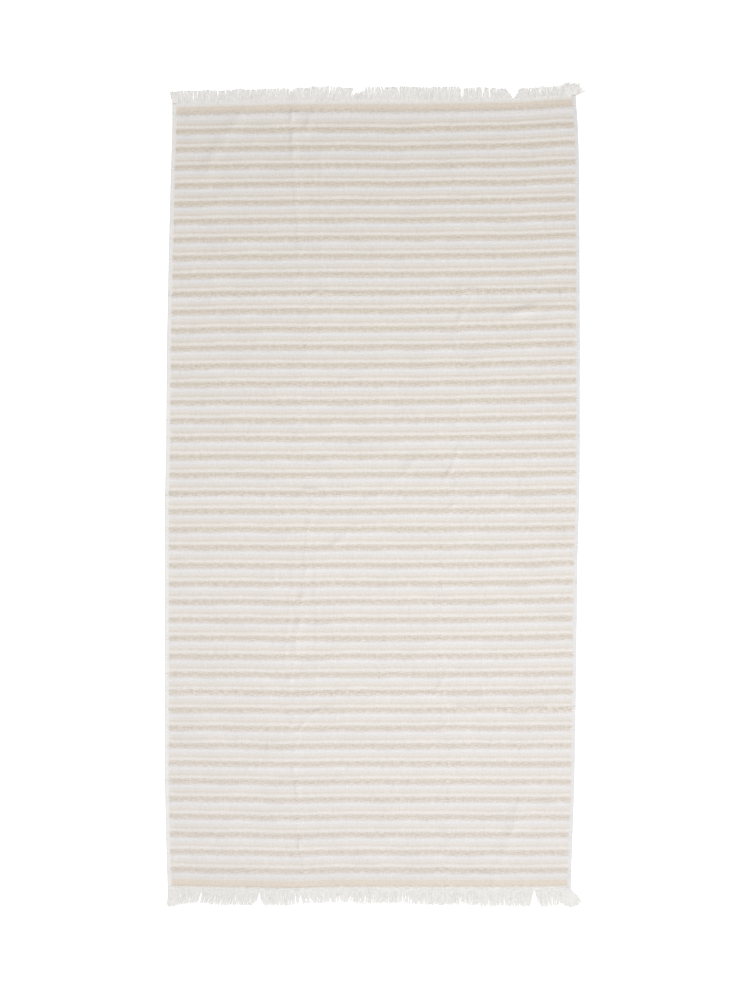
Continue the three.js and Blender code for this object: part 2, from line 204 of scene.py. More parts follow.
# Creases that slant between the folds, and the small puckers where the folds cross: how far the
# slopes reach, then the crest's points and heights
CREASES = [
    (26, table(XYH, (-372, 650, 0), (-362, 690, 1.7), (-352, 726, 2.4), (-333, 757, 2.7), (-308, 794, 2.4),
               (-284, 830, 1.3))),
    (11, table(XYH, (-148, 770, 0), (-141, 800, 2.2), (-132, 836, 1.0))),
    (10, table(XYH, (-172, 836, 0), (-173, 800, 2.4), (-172, 740, 2.6), (-167, 690, 0))),
    (7, table(XYH, (-156, 2, 0), (-142, 6, 2.6), (-122, 4, 2.4), (-108, -4, 0))),
    (7, table(XYH, (-179, -570, 0), (-178, -600, -1.3), (-172, -640, -1.3), (-166, -690, -0.7),
              (-164, -760, -1.4), (-159, -810, 0))),
    (7, table(XYH, (-129, 760, 0), (-128, 700, 1.0), (-124, 520, 1.0), (-122, 460, 0))),
    (8, table(XYH, (-113, 800, 0), (-113, 740, 1.3), (-111, 480, 1.4), (-111, 441, 0.4))),
    (8, table(XYH, (13, 530, 0), (12, 500, 1.7), (11, 460, 1.7), (12, 430, 0))),
    (7, table(XYH, (-147, 424, 0), (-132, 437, 1.9), (-118, 441, 1.9), (-95, 437, 1.7), (-70, 430, 0))),
    (6, table(XYH, (-135, 404, 0), (-126, 416, 1.6), (-112, 420, 0))),
    (11, table(XYH, (172, 350, 0), (188, 378, 2.2), (203, 403, 2.8), (216, 426, 1.6), (224, 438, 0))),
    (8, table(XYH, (172, 444, 0), (190, 447, 1.6), (214, 445, 1.2), (240, 447, 0))),
    (16, table(XYH, (262, 378, 0), (305, 391, 2.6), (345, 402, 3.0), (375, 410, 1.2), (400, 416, 0))),
    (10, table(XYH, (196, 110, 0), (185, 90, 2.6), (175, 62, 3.0), (165, 38, 2.4), (156, 14, 0))),
    (11, table(XYH, (110, 92, 0), (88, 66, 2.4), (62, 33, 0.8), (12, 0, 0.8), (-34, -34, 1.0),
               (-50, -72, 1.6), (-72, -103, 1.9), (-95, -121, 1.7), (-132, -129, 0))),
    (7, table(XYH, (200, -92, 0), (209, -52, 2.0), (216, -20, 0.8))),
    (8, table(XYH, (150, -44, 0), (172, -28, 1.8), (196, -12, 1.2))),
    (8, table(XYH, (-124, -60, 0), (-124, -100, 1.5), (-122, -400, 1.3), (-121, -463, 0))),
    (7, table(XYH, (-172, -90, 0), (-176, -200, 1.2), (-188, -340, 1.2), (-194, -400, 0))),
    (8, table(XYH, (122, -90, 0), (121, -120, 1.1), (120, -320, 1.1), (121, -345, 0))),
    (7, table(XYH, (-204, -426, 0), (-190, -414, 1.8), (-170, -400, 2.0), (-148, -393, 1.4),
              (-133, -394, 0))),
    (8, table(XYH, (-168, -526, 0), (-157, -511, 2.4), (-146, -498, 1.0), (-132, -482, 1.2),
              (-118, -474, 3.2), (-96, -469, 2.2), (-70, -474, 0))),
    (6, table(XYH, (-100, -450, 0), (-86, -438, 2.0), (-68, -432, 2.0), (-38, -435, 0))),
    (6, table(XYH, (-230, -471, 0), (-205, -468, 1.9), (-176, -474, 0))),
    (8, table(XYH, (132, -448, 0), (147, -418, 2.4), (160, -392, 2.4), (171, -368, 0))),
    (7, table(XYH, (179, -396, 0), (191, -425, 2.2), (205, -452, 0))),
    (9, table(XYH, (148, -440, 0), (158, -446, 2.0), (170, -444, 0))),
    (9, table(XYH, (140, -484, 0), (160, -478, 2.4), (182, -482, 0))),
    (7, table(XYH, (146, -504, 0), (170, -512, 1.9), (202, -504, 0))),
    (7, table(XYH, (-88, -642, 0), (-70, -620, 1.7), (-54, -600, 0))),
    (21, table(XYH, (338, -634, 0), (326, -665, 2.2), (311, -708, 3.2), (297, -752, 3.4), (281, -803, 2.8),
               (267, -848, 1.2))),
    (11, table(XYH, (126, -822, 0), (150, -820, 2.6), (174, -824, 0))),
    (11, table(XYH, (190, -836, 0), (220, -830, 3.4), (262, -832, 2.4), (290, -836, 0))),
]

# The stripes' colours through one repeat, from the middle of a dark stripe down to the next, as
# sRGB shares out of 255 under the picture's light, and how many times further from their mean
# they are shown. Then what they fade to, by a share of the way at the bottom end, and the colours
# of the other parts of the cloth. The heading, the end band and the hem are each given twice, as
# lit at each end or side, so the differences between their copies are painted light and shade.
STRIPE_REPEAT = table(
    "down red green blue",
    (0.0, 223, 213, 199),
    (3.0, 225, 216, 203),
    (5.5, 226, 218, 209),
    (7.8, 227, 221, 216),
    (10.0, 233, 230, 228),
    (13.6, 235, 233, 231),
    (16.4, 230, 226, 221),
    (19.4, 231, 225, 218),
    (22.0, 230, 224, 216),
    (24.2, 225, 217, 206),
    (26.4, 229, 223, 214),
    (28.8, 236, 230, 223),
    (31.6, 238, 232, 225),
    (33.6, 235, 228, 219),
    (35.2, 232, 224, 213),
    (37.4, 228, 218, 204),
    (39.4, 223, 213, 199),
)
STRIPE_CONTRAST = 1.2
FADED_STRIPES = (230, 225, 226)
STRIPE_FADE = 0.28
# Each end's heading white and band beige, and each side's hem white, are one colour given as lit there:
# their differences are painted light and shade.
HEADING_AS_LIT_TOP = (238, 235, 231)
HEADING_AS_LIT_BOTTOM = (240, 238, 235)
AFTER_BAND_WHITE = (237, 233, 231)
HEM_WHITE_AS_LIT_LEFT = (238, 236, 234)
HEM_WHITE_AS_LIT_RIGHT = (231, 229, 229)
END_BAND_AS_LIT_TOP = (229, 218, 204)
END_BAND_AS_LIT_BOTTOM = (226, 216, 203)


def linear(colour):
    """An sRGB colour out of 255 as linear light: the usual two-part curve."""
    share = np.asarray(colour, float) / 255
    return np.where(share <= 0.04045, share / 12.92, ((share + 0.055) / 1.055) ** 2.4)


def edges_at(flat):
    """Both side edges at weave lines, averaged over a short stretch so that they stay round."""
    near = flat[..., None] + np.linspace(-EDGE_ROUNDING, EDGE_ROUNDING, EDGE_SAMPLES)
    left = read(WEAVE_LINES, "flat", "left", near).mean(axis=-1)
    right = read(WEAVE_LINES, "flat", "right", near).mean(axis=-1)
    return left, right


def rise_at(flat, x):
    """How far a weave line lies above its y on the centre line: a curve through three heights."""
    left, right = read(WEAVE_LINES, "flat", "left", flat), read(WEAVE_LINES, "flat", "right", flat)
    left_slope = read(WEAVE_LINES, "flat", "left_rise", flat) / left
    right_slope = read(WEAVE_LINES, "flat", "right_rise", flat) / right
    bend = (right_slope - left_slope) / (right - left)
    return x * (left_slope + bend * (x - left))


def eased(at, places):
    """The number of the place before, and a smooth share of the way from it to the next."""
    spot = np.interp(at, places, np.arange(len(places)))
    before = np.minimum(np.floor(spot), len(places) - 2).astype(int)
    share = spot - before
    return before, share * share * (3 - 2 * share)


def wave_at(flat, x):
    """The waves' heights between their places, eased from each to the next both ways."""
    row, row_share = eased(flat, WAVES[:, 0])
    column, column_share = eased(x, WAVE_ACROSS)
    upper = WAVES[row, column + 1] * (1 - column_share) + WAVES[row, column + 2] * column_share
    lower = WAVES[row + 1, column + 1] * (1 - column_share) + WAVES[row + 1, column + 2] * column_share
    return upper * (1 - row_share) + lower * row_share


def smooth_height(flat, x):
    """Where a weave line lies along y at places x across it, as in the solids."""
    return read(WEAVE_LINES, "flat", "y", flat) + rise_at(flat, x)


def height_on_plan(flat, x):
    """Where a weave line lies along y at places x across it, with its small waves."""
    return smooth_height(flat, x) + wave_at(flat, x)


def ripple(x, y, size, seed):
    """Smooth uneven numbers from about -1 to 1: crossed waves, each with its way and length."""
    random = np.random.default_rng(seed)
    total = np.zeros(np.broadcast(x, y).shape)
    for _ in range(RIPPLE_WAVES):
        angle = random.uniform(0, np.pi)
        length = size * random.uniform(*RIPPLE_LENGTHS)
        across = (x * np.cos(angle) + y * np.sin(angle)) * 2 * np.pi / length
        total += np.sin(across + random.uniform(0, 2 * np.pi))
    return total / RIPPLE_PEAK


def ripples(x, y, parts):
    """Some ripples added up, each times its amount."""
    return sum(amount * ripple(x, y, size, seed) for amount, size, seed in parts)


def bent_plan(x, y):
    """The plan's places, moved by a millimetre or two as smooth uneven numbers go."""
    return x + ripples(x, y, BENDS_ACROSS), y + ripples(x, y, BENDS_ALONG)


def crest_profile(fall):
    """A ridge's height by its distance from the crest: an S curve, a little keener at the top."""
    inside = np.clip(1 - fall, 0, 1)
    return (inside * inside * (3 - 2 * inside)) ** CREST_SHARPNESS


def ridge_height(x, y, reach, path):
    """A fold's height over the plan: its crest's own height, less by the distance from it.

    The distance is to the nearest point of the crest's straight pieces.
    """
    nearest = np.full(np.broadcast(x, y).shape, np.inf)
    height = np.zeros(nearest.shape)
    for i in range(len(path["x"]) - 1):
        start = np.array([path["x"][i], path["y"][i]])
        run = np.array([path["x"][i + 1], path["y"][i + 1]]) - start
        share = ((x - start[0]) * run[0] + (y - start[1]) * run[1]) / (run @ run)
        share = np.clip(share, 0, 1)
        distance = np.hypot(x - start[0] - share * run[0], y - start[1] - share * run[1])
        closer = distance < nearest
        here = path["height"][i] + share * (path["height"][i + 1] - path["height"][i])
        nearest = np.where(closer, distance, nearest)
        height = np.where(closer, here, height)
    return height * crest_profile(nearest / reach)


def lift_at(x, y):
    """How far the cloth lies off the floor: the folds and creases on a faint swell.

    The plan is bent a little by a ripple, so that no crest runs quite straight, and the crests
    come and go over a few centimetres, as pressed folds do in a thick ribbed cloth.
    """
    bent_x, bent_y = bent_plan(x, y)
    broken = np.clip(CREST_MEAN + ripples(x, y, CREST_BREAKS), *CREST_LIMITS)
    height = np.zeros(np.broadcast(x, y).shape)
    for reach, path in FOLDS:
        height = np.maximum(height, broken * ridge_height(bent_x, bent_y, reach, path))
    half_broken = (1 + broken) / 2
    for reach, path in CREASES:
        height = height + half_broken * ridge_height(bent_x, bent_y, reach, path)
    return np.maximum(height + SWELL_MEAN + ripples(x, y, SWELLS), 0)


def bump_over(distance, level, shoulder):
    """1 as far as it is level, falling smoothly to 0 over the shoulder."""
    share = np.clip((level + shoulder - distance) / shoulder, 0, 1)
    return share * share * (3 - 2 * share)


def thickness_at(u, flat):
    """The cloth's thickness by its flat place: plain cloth with ribs, headings and side hems."""
    step = np.clip(np.round((flat - FIRST_RIB) / RIB_PITCH), 0, RIB_COUNT - 1)
    off = flat - (FIRST_RIB + step * RIB_PITCH)
    rib = RIB_HEIGHT * bump_over(np.abs(off), *RIB)
    small_off = np.where(off < 0, off + RIB_PITCH, off) - SMALL_RIB_AT
    small = SMALL_RIB_HEIGHT * bump_over(np.abs(small_off), *SMALL_RIB)
    body = CLOTH_THICKNESS + rib + small
    from_end = np.minimum(flat, FLAT_LENGTH - flat)
    body = body + (HEADING_THICKNESS - body) * bump_over(from_end, *HEADING)
    from_side = FLAT_WIDTH / 2 - np.abs(u)
    hem = bump_over(from_side, *HEM)
    seam = SEAM_DEPTH * bump_over(np.abs(from_side - SEAM_INSET), *SEAM)
    return body + (HEM_THICKNESS - body) * hem - seam * hem


# The cloth's mesh: rows through one repeat of the stripes, as how far down they lie from the
# middle of the dark stripe, rows from each end, how wide the columns' steps are across the sheet,
# and the columns of the hems. Shares are those of the thickness at the round edges. The underside
# keeps one row or column in each under step, and a fold is marked as far as the marks reach.
ROWS_DOWN = np.array([0, 2.5, 4.5, 6.7, 13.5, 20.5, 27.4, 29.6, 32.6, 34.9, 36.9])
END_ROWS = np.array([0, 0.15, 2.5, 8.5, 15, 21, 24.2, 25.0, 28.5, 32])
COLUMN_STEPS = table(
    "u step",
    (-440, 7),
    (-390, 6),
    (-300, 6),
    (-230, 5),
    (-200, 3.8),
    (-90, 3.8),
    (-60, 6.4),
    (60, 6.4),
    (100, 5),
    (140, 3.8),
    (215, 3.8),
    (250, 5.2),
    (330, 5.2),
    (440, 6.5),
)
HEM_COLUMNS = table(
    "inset share", (0, 0.8), (0.4, 0.93), (1.2, 1), (1.9, 1), (4.6, 1), (7.0, 1), (8.6, 1), (10.4, 1)
)
END_EDGE = table("inset share", (0, 0.9), (0.15, 1), (2.5, 1))
COLUMN_PLACES = 2000
UNDER_ROW_STEP = 4
UNDER_COLUMN_STEP = 3
MARK_REACH = 11


def cloth_rows():
    """Weave lines for the mesh's rows, from the top end down: one more than whole under steps."""
    middles = FIRST_RIB + RIB_PITCH * np.arange(-1, RIB_COUNT)
    rows = (middles[:, None] + ROWS_DOWN).ravel()
    rows = rows[(rows > END_ROWS[-1]) & (rows < FLAT_LENGTH - END_ROWS[-1])]
    rows = np.sort(np.concatenate([END_ROWS, rows, FLAT_LENGTH - END_ROWS]))
    while len(rows) % UNDER_ROW_STEP != 1:
        widest = np.argmax(np.diff(rows))
        rows = np.insert(rows, widest + 1, rows[widest : widest + 2].mean())
    return rows


def cloth_columns():
    """Flat places across the sheet: the hems' own columns, and inner ones at the given steps.

    The inner columns stand where the running count of steps passes whole numbers. All columns
    are one more than whole under steps.
    """
    inner_edge = FLAT_WIDTH / 2 - HEM_COLUMNS["inset"][-1]
    fine = np.linspace(-inner_edge, inner_edge, COLUMN_PLACES)
    step = read(COLUMN_STEPS, "u", "step", fine)
    count = np.concatenate([[0], np.cumsum(np.diff(fine) / step[1:])])
    left = -FLAT_WIDTH / 2 + HEM_COLUMNS["inset"][:-1]
    wanted = int(round(count[-1])) + 1
    wanted -= (wanted + 2 * len(left) - 1) % UNDER_COLUMN_STEP
    inner = np.interp(np.linspace(0, count[-1], wanted), count, fine)
    columns = np.concatenate([left, inner, -left[::-1]])
    share = np.ones(len(columns))
    edge = len(left)
    share[:edge] = HEM_COLUMNS["share"][:-1]
    share[-edge:] = HEM_COLUMNS["share"][:-1][::-1]
    return columns, share


def on_plan(u, flat):
    """A flat place on the sheet, put where the cloth lies: between its side edges, on its line."""
    left, right = edges_at(flat)
    x = left + (u / FLAT_WIDTH + 0.5) * (right - left)
    return x, height_on_plan(flat, x)


def fold_marks(x, y):
    """How much each place has been pressed in a fold: 1 on a crest, less by the distance."""
    bent_x, bent_y = bent_plan(x, y)
    marks = np.zeros(x.shape)
    for _, path in FOLDS:
        level = {**path, "height": np.minimum(path["height"], 1)}
        marks = np.maximum(marks, ridge_height(bent_x, bent_y, MARK_REACH, level))
    return marks


def lowest_around(height):
    """At every coarse place, the lowest height within one coarse step of it each way.

    Straight faces between such heights never rise above the fine ones.
    """
    steps = (UNDER_ROW_STEP, UNDER_COLUMN_STEP)
    padded = np.pad(height, [(step, step) for step in steps], mode="edge")
    windows = np.lib.stride_tricks.sliding_window_view(padded, [2 * step + 1 for step in steps])
    return windows[:: steps[0], :: steps[1]].min(axis=(-2, -1))


def quads(grid):
    """Four-cornered faces between the rows of a grid of point numbers, as seen from above."""
    upper, lower = grid[:-1], grid[1:]
    corners = [lower[:, :-1], lower[:, 1:], upper[:, 1:], upper[:, :-1]]
    return np.stack(corners, axis=-1).reshape(-1, 4)


def make_piece(name, points, faces, flat, material, shift):
    """A smooth mesh piece from points in millimetres, with its flat places as its UV map."""
    placed = (points + np.array([shift[0], shift[1], 0])) * MM
    mesh = bpy.data.meshes.new(name)
    mesh.from_pydata(placed.tolist(), [], faces)
    layer = mesh.uv_layers.new(name="Flat")
    corner_points = np.empty(len(mesh.loops), np.int32)
    mesh.loops.foreach_get("vertex_index", corner_points)
    layer.data.foreach_set("uv", (flat[corner_points] * MM).ravel())
    mesh.polygons.foreach_set("use_smooth", np.ones(len(mesh.polygons), bool))
    mesh.materials.append(material)
    mesh.update()
    piece = bpy.data.objects.new(name, mesh)
    bpy.context.collection.objects.link(piece)
    return piece


def make_cloth(material, shift):
    """The towel's cloth: a top with its ribs and folds, a coarser underside and a rim between.

    Top: height = lift of the folds + thickness, and less of it at the round side edges.
    Underside: the lift alone on coarser rows and columns, the lowest around each place.
    """
    rows, (columns, share) = cloth_rows(), cloth_columns()
    flat, u = np.meshgrid(rows, columns, indexing="ij")
    x, y = on_plan(u, flat)
    lift = lift_at(x, y)
    end_share = np.interp(np.minimum(rows, FLAT_LENGTH - rows), END_EDGE["inset"], END_EDGE["share"])
    top = np.stack([x, y, lift + end_share[:, None] * share * thickness_at(u, flat)], axis=-1)
    under_rows = np.arange(0, len(rows), UNDER_ROW_STEP)
    under_columns = np.arange(0, len(columns), UNDER_COLUMN_STEP)
    under = np.stack([x, y, lift], axis=-1)[np.ix_(under_rows, under_columns)]
    under[..., 2] = lowest_around(lift)
    under[:, 0, 0] += HEM_COLUMNS["inset"][1]
    under[:, -1, 0] -= HEM_COLUMNS["inset"][1]
    top_ids = np.arange(top[..., 0].size).reshape(top.shape[:2])
    under_ids = top_ids.size + np.arange(under[..., 0].size).reshape(under.shape[:2])
    faces = quads(top_ids).tolist() + quads(under_ids)[:, ::-1].tolist()
    for i in range(len(under_rows) - 1):
        side = slice(under_rows[i], under_rows[i + 1] + 1)
        faces.append([under_ids[i, 0], under_ids[i + 1, 0], *top_ids[side, 0][::-1]])
        faces.append([under_ids[i + 1, -1], under_ids[i, -1], *top_ids[side, -1]])
    for j in range(len(under_columns) - 1):
        end = slice(under_columns[j], under_columns[j + 1] + 1)
        faces.append([under_ids[0, j + 1], under_ids[0, j], *top_ids[0, end]])
        faces.append([under_ids[-1, j], under_ids[-1, j + 1], *top_ids[-1, end][::-1]])
    places = np.stack([u, flat], axis=-1)
    under_places = places[np.ix_(under_rows, under_columns)]
    places = np.concatenate([places.reshape(-1, 2), under_places.reshape(-1, 2)])
    points = np.concatenate([top.reshape(-1, 3), under.reshape(-1, 3)])
    faces = [[int(i) for i in face] for face in faces]
    cloth = make_piece("bath_sheet_cloth", points, faces, places, material, shift)
    folded = cloth.data.attributes.new("folded", "FLOAT", "POINT")
    folded.data.foreach_set("value", fold_marks(points[:, 0], points[:, 1]))
    return cloth


# Fringes: the yarns of an end, and each tube's rings and flat width around
YARNS_PER_END = 1800
YARN_RADIUS = 0.62
YARN_RADIUS_SPREAD = (0.8, 1.2)
TIP_TAPER = 0.6
YARN_SIDES = 5
YARN_RINGS = 9
YARN_AROUND = 4
ROOT_INSIDE = 3.0
ROOT_INSET = 0.8
ROOT_STRAY = 0.4
SHORTEST_SHARE = 0.45

# How far yarns, locks and tufts stray from their fringe's tables, as a normal spread each, how far
# apart the locks are, and how much of the way to its lock's middle a yarn is pulled at most
LOCK_GAPS = (7, 20)
LOCK_LEAN = 0.5
LOCK_LENGTH = 0.7
YARN_LEAN = 1.7
YARN_LENGTH = 1.1
TUFT_SPREAD = 0.7
TUFT_LENGTH = 2.4
LOCK_PULL = 0.12

# A yarn's path: how its lean and its pull grow along it, how wide it curls and how much wider
# where the fringe is curled, its curl's turns, and the hump that it makes as it leaves the cloth
LEAN_POWER = 1.3
PULL_REACH = 0.75
CURL_WIDTHS = (0.1, 0.9)
CURLED_WIDTH = 1.8
CURL_TURNS = (0.5, 1.4)
HUMP_REACH = 1.05
HUMP_HEIGHTS = (0.1, 1.1)
HUMP_START = 9

# Each fringe's own: how high its roots are in the heading's thickness, its colours, its end and
# the way it points, how long its yarns are and lean, and where they part, stand in tufts and curl.
# Its colours are the one yarn's white as lit at that end: darker at the root as painted shade,
# whiter at the tip as painted light, and set apart from the other end's for how each end is lit.
TOP_FRINGE = {
    "name": "fringe_top",
    "seed": 11,
    "root_up": 0.65,
    "root_white_as_lit": (0.74, 0.72, 0.695),
    "tip_white_as_lit": (0.82, 0.805, 0.78),
    "end": 0.0,
    "side": 1,
    "lengths": table(
        "x length",
        (-436, 25),
        (-417, 26.5),
        (-330, 26.5),
        (-308, 28),
        (-265, 27.5),
        (-243, 28.5),
        (-184, 29),
        (-177, 22),
        (-170, 29.5),
        (-134, 31),
        (-90, 31.5),
        (-69, 29.5),
        (-48, 28),
        (-44, 16),
        (-30, 18),
        (-20, 23),
        (-11, 29.5),
        (19, 28),
        (84, 28.5),
        (106, 26.5),
        (149, 25.5),
        (188, 26.5),
        (198, 21.5),
        (215, 21.5),
        (237, 23.5),
        (258, 21.5),
        (302, 19),
        (324, 20.5),
        (389, 22),
        (405, 24),
        (420, 27),
        (445, 27),
    ),
    "leans": table(
        "x lean", (-436, -3), (-410, 0), (-110, 1), (-92, 7), (-46, 7), (-40, 1), (300, 0), (415, 2)
    ),
    "partings": table(
        "x spread reach",
        (-402, 1.5, 6),
        (-46, 3, 5),
        (57, 2, 7),
        (165, 2.5, 7),
        (195, 4, 7),
        (226, 3, 6),
        (240, 4.5, 7),
        (256, 4, 6),
        (306, 15.5, 15),
    ),
    "tufts": table(
        "x half yarns lean spread length",
        (-432, 4, 40, -3.5, 2.5, 24),
        (432, 9, 70, 5, 6, 26),
        (440, 3, 46, 13, 7, 24),
    ),
    "curled": table("x share", (-450, 0), (450, 0)),
}
BOTTOM_FRINGE = {
    "name": "fringe_bottom",
    "seed": 23,
    "root_up": 0.58,
    "root_white_as_lit": (0.72, 0.705, 0.685),
    "tip_white_as_lit": (0.73, 0.72, 0.70),
    "end": FLAT_LENGTH,
    "side": -1,
    "lengths": table(
        "x length",
        (-446, 35),
        (-425, 32.5),
        (-374, 30),
        (-352, 31),
        (-330, 34),
        (-178, 34),
        (-165, 30),
        (-150, 27.5),
        (-112, 27.5),
        (-90, 25.5),
        (-47, 24.5),
        (-25, 31),
        (-3, 30.5),
        (19, 29),
        (40, 30),
        (62, 26.5),
        (84, 29.5),
        (106, 32.5),
        (171, 32.5),
        (193, 31),
        (215, 32),
        (237, 34.5),
        (262, 36),
        (280, 34),
        (302, 36),
        (346, 34.5),
        (367, 36.5),
        (389, 35),
        (411, 32),
        (433, 36),
    ),
    "leans": table(
        "x lean",
        (-446, -2),
        (-425, -4),
        (-400, -8),
        (-270, -9),
        (-247, -6),
        (-240, 0),
        (380, 1),
        (412, 4),
        (430, 8),
    ),
    "partings": table(
        "x spread reach",
        (-245, 7.5, 9),
        (-157, 5.5, 6),
        (-134, 3, 6),
        (-92, 2.5, 6),
        (65, 2.5, 6),
        (353, 13, 9),
    ),
    "tufts": table(
        "x half yarns lean spread length",
        (-439, 7, 70, 0, 2, 35),
        (424, 7, 80, 4, 6, 37),
        (429, 3, 90, 17, 5.5, 39),
    ),
    "curled": table("x share", (-165, 0), (-140, 1), (0, 1), (30, 0.2), (60, 0)),
}


def uneven_locks(random, left, right):
    """Locks along an end: their middles, and each one's own lean and length."""
    middles = left + np.cumsum(random.uniform(*LOCK_GAPS, int((right - left) / LOCK_GAPS[0])))
    middles = middles[middles < right]
    count = len(middles)
    return middles, random.normal(0, LOCK_LEAN, count), random.normal(0, LOCK_LENGTH, count)


def yarn_starts(random, fringe):
    """Every yarn's root across the end, how far it leans at its tip, and its length.

    An even row takes its lean and length from the fringe's tables and from the locks, and at each
    parting it leans away to both sides. The tables' lengths start from the smooth end, so the
    waves come off them. The tufts at the corners are added to the row.
    """
    left, right = (float(edge) for edge in edges_at(np.array(fringe["end"])))
    count = YARNS_PER_END
    root = np.linspace(left + ROOT_INSET, right - ROOT_INSET, count)
    root = root + random.uniform(-ROOT_STRAY, ROOT_STRAY, count)
    middles, lock_lean, lock_length = uneven_locks(random, left, right)
    mine = np.abs(root[:, None] - middles).argmin(axis=1)
    pull = random.uniform(0, LOCK_PULL, count) * (middles[mine] - root)
    lean = read(fringe["leans"], "x", "lean", root) + lock_lean[mine]
    lean = lean + random.normal(0, YARN_LEAN, count)
    for at, spread, reach in zip(*fringe["partings"].values()):
        away = root - at
        lean += spread * np.sign(away) * np.exp(-np.abs(away) / reach)
    length = read(fringe["lengths"], "x", "length", root) + lock_length[mine]
    length -= fringe["side"] * wave_at(np.full(count, fringe["end"]), root)
    length = length + random.normal(0, YARN_LENGTH, count)
    for x, half, yarns, tuft_lean, spread, tuft_length in zip(*fringe["tufts"].values()):
        yarns = int(yarns)
        place = np.sort(random.uniform(-1, 1, yarns))
        roots = np.clip(x + half * place, left + ROOT_INSET, right - ROOT_INSET)
        leans = tuft_lean + spread * (place + random.normal(0, TUFT_SPREAD, yarns))
        lengths = tuft_length + random.normal(0, TUFT_LENGTH, yarns)
        root, pull = np.concatenate([root, roots]), np.concatenate([pull, np.zeros(yarns)])
        lean, length = np.concatenate([lean, leans]), np.concatenate([length, lengths])
    return root, pull, lean, length


def yarn_paths(fringe):
    """Each yarn's path from its root in the heading to its tip, with its radii and its length.

    Across: root + lean by a power of the share + a pull to its lock's middle that grows and eases
    off + a sine curl. Along: what its lean leaves of its length. Up: from its root inside the
    heading's thickness over a low hump to the floor.
    """
    random = np.random.default_rng(fringe["seed"])
    end = np.array(fringe["end"])
    root, pull, lean, length = yarn_starts(random, fringe)
    count = len(root)
    share = np.linspace(0, 1, YARN_RINGS)[None, :]
    curled = read(fringe["curled"], "x", "share", root)
    gather = np.sin(np.pi * np.clip(share * PULL_REACH, 0, 1)) * pull[:, None]
    width = random.uniform(*CURL_WIDTHS, count)
    width = (width + CURLED_WIDTH * curled * random.uniform(0, 1, count))[:, None]
    turns = random.uniform(*CURL_TURNS, count)[:, None]
    phase = random.uniform(0, 2 * np.pi, count)[:, None]
    curl = width * share * np.sin(2 * np.pi * turns * share + phase)
    x = root[:, None] + lean[:, None] * share**LEAN_POWER + gather + curl
    reach = np.sqrt(np.maximum(length**2 - lean**2, (SHORTEST_SHARE * length) ** 2))
    out = (reach[:, None] + ROOT_INSIDE) * share - ROOT_INSIDE
    root_y = height_on_plan(end, root)
    y = root_y[:, None] + fringe["side"] * out
    hump = np.sin(np.pi * np.clip(share * HUMP_REACH, 0, 1))
    hump = hump * random.uniform(*HUMP_HEIGHTS, count)[:, None]
    root_z = fringe["root_up"] * HEADING_THICKNESS + lift_at(root, root_y)[:, None]
    z = root_z * (1 - share) + YARN_RADIUS * share + hump * (1 - np.exp(-HUMP_START * share))
    radius = YARN_RADIUS * random.uniform(*YARN_RADIUS_SPREAD, count)[:, None]
    radius = radius * (1 - TIP_TAPER * share**4)
    return np.stack([x, y, np.maximum(z, radius)], axis=-1), radius, length


def tubes(paths, radius, lengths):
    """Closed tubes around many paths: rings square to each path, joined by quads, ends capped."""
    count, rings, _ = paths.shape
    along = np.gradient(paths, axis=1)
    along /= np.linalg.norm(along, axis=-1, keepdims=True)
    across = np.cross(along, np.array([0, 0, 1.0]))
    across /= np.linalg.norm(across, axis=-1, keepdims=True)
    up = np.cross(across, along)
    angle = np.linspace(0, 2 * np.pi, YARN_SIDES, endpoint=False)
    ring = np.cos(angle)[:, None] * across[:, :, None, :] + np.sin(angle)[:, None] * up[:, :, None, :]
    points = paths[:, :, None, :] + radius[:, :, None, None] * ring
    points[..., 2] = np.maximum(points[..., 2], 0.0)
    ids = np.arange(count * rings * YARN_SIDES).reshape(count, rings, YARN_SIDES)
    around = np.roll(ids, -1, axis=2)
    sides = np.stack([ids[:, :-1], around[:, :-1], around[:, 1:], ids[:, 1:]], axis=-1)
    faces = sides.reshape(-1, 4).tolist() + ids[:, 0, ::-1].tolist() + ids[:, -1].tolist()
    run = lengths[:, None, None] * np.linspace(0, 1, rings)[None, :, None]
    turn = np.broadcast_to(angle / (2 * np.pi) * YARN_AROUND, ids.shape)
    flat = np.stack([turn, np.broadcast_to(run, ids.shape)], axis=-1)
    return points.reshape(-1, 3), faces, flat.reshape(-1, 2)


def make_fringe(fringe, shift):
    """One fringe: all its yarns as one mesh, their roots inside the plain heading."""
    points, faces, flat = tubes(*yarn_paths(fringe))
    name = "bath_sheet_" + fringe["name"]
    return make_piece(name, points, faces, flat, yarn_finish(fringe), shift)


class Socket:
    """A node's output whose arithmetic adds Math nodes, so that shader maths reads as sums."""

    def __init__(self, nodes, output):
        self.nodes, self.output = nodes, output

    def math(self, operation, *others):
        return self.nodes.add("ShaderNodeMath", {"operation": operation}, (self, *others))

    def __add__(self, other):
        return self.math("ADD", other)

    def __radd__(self, other):
        return self.math("ADD", other)

    def __sub__(self, other):
        return self.math("SUBTRACT", other)

    def __rsub__(self, other):
        return self.nodes.add("ShaderNodeMath", {"operation": "SUBTRACT"}, (other, self))

    def __mul__(self, other):
        return self.math("MULTIPLY", other)

    def __rmul__(self, other):
        return self.math("MULTIPLY", other)

    def absolute(self):
        return self.math("ABSOLUTE")

    def wave(self):
        return self.math("SINE")

    def within(self, start, end):
        """A smooth rise from 0 at start to 1 at end."""
        settings = {"interpolation_type": "SMOOTHSTEP"}
        return self.nodes.add("ShaderNodeMapRange", settings, {0: self, 1: start, 2: end})


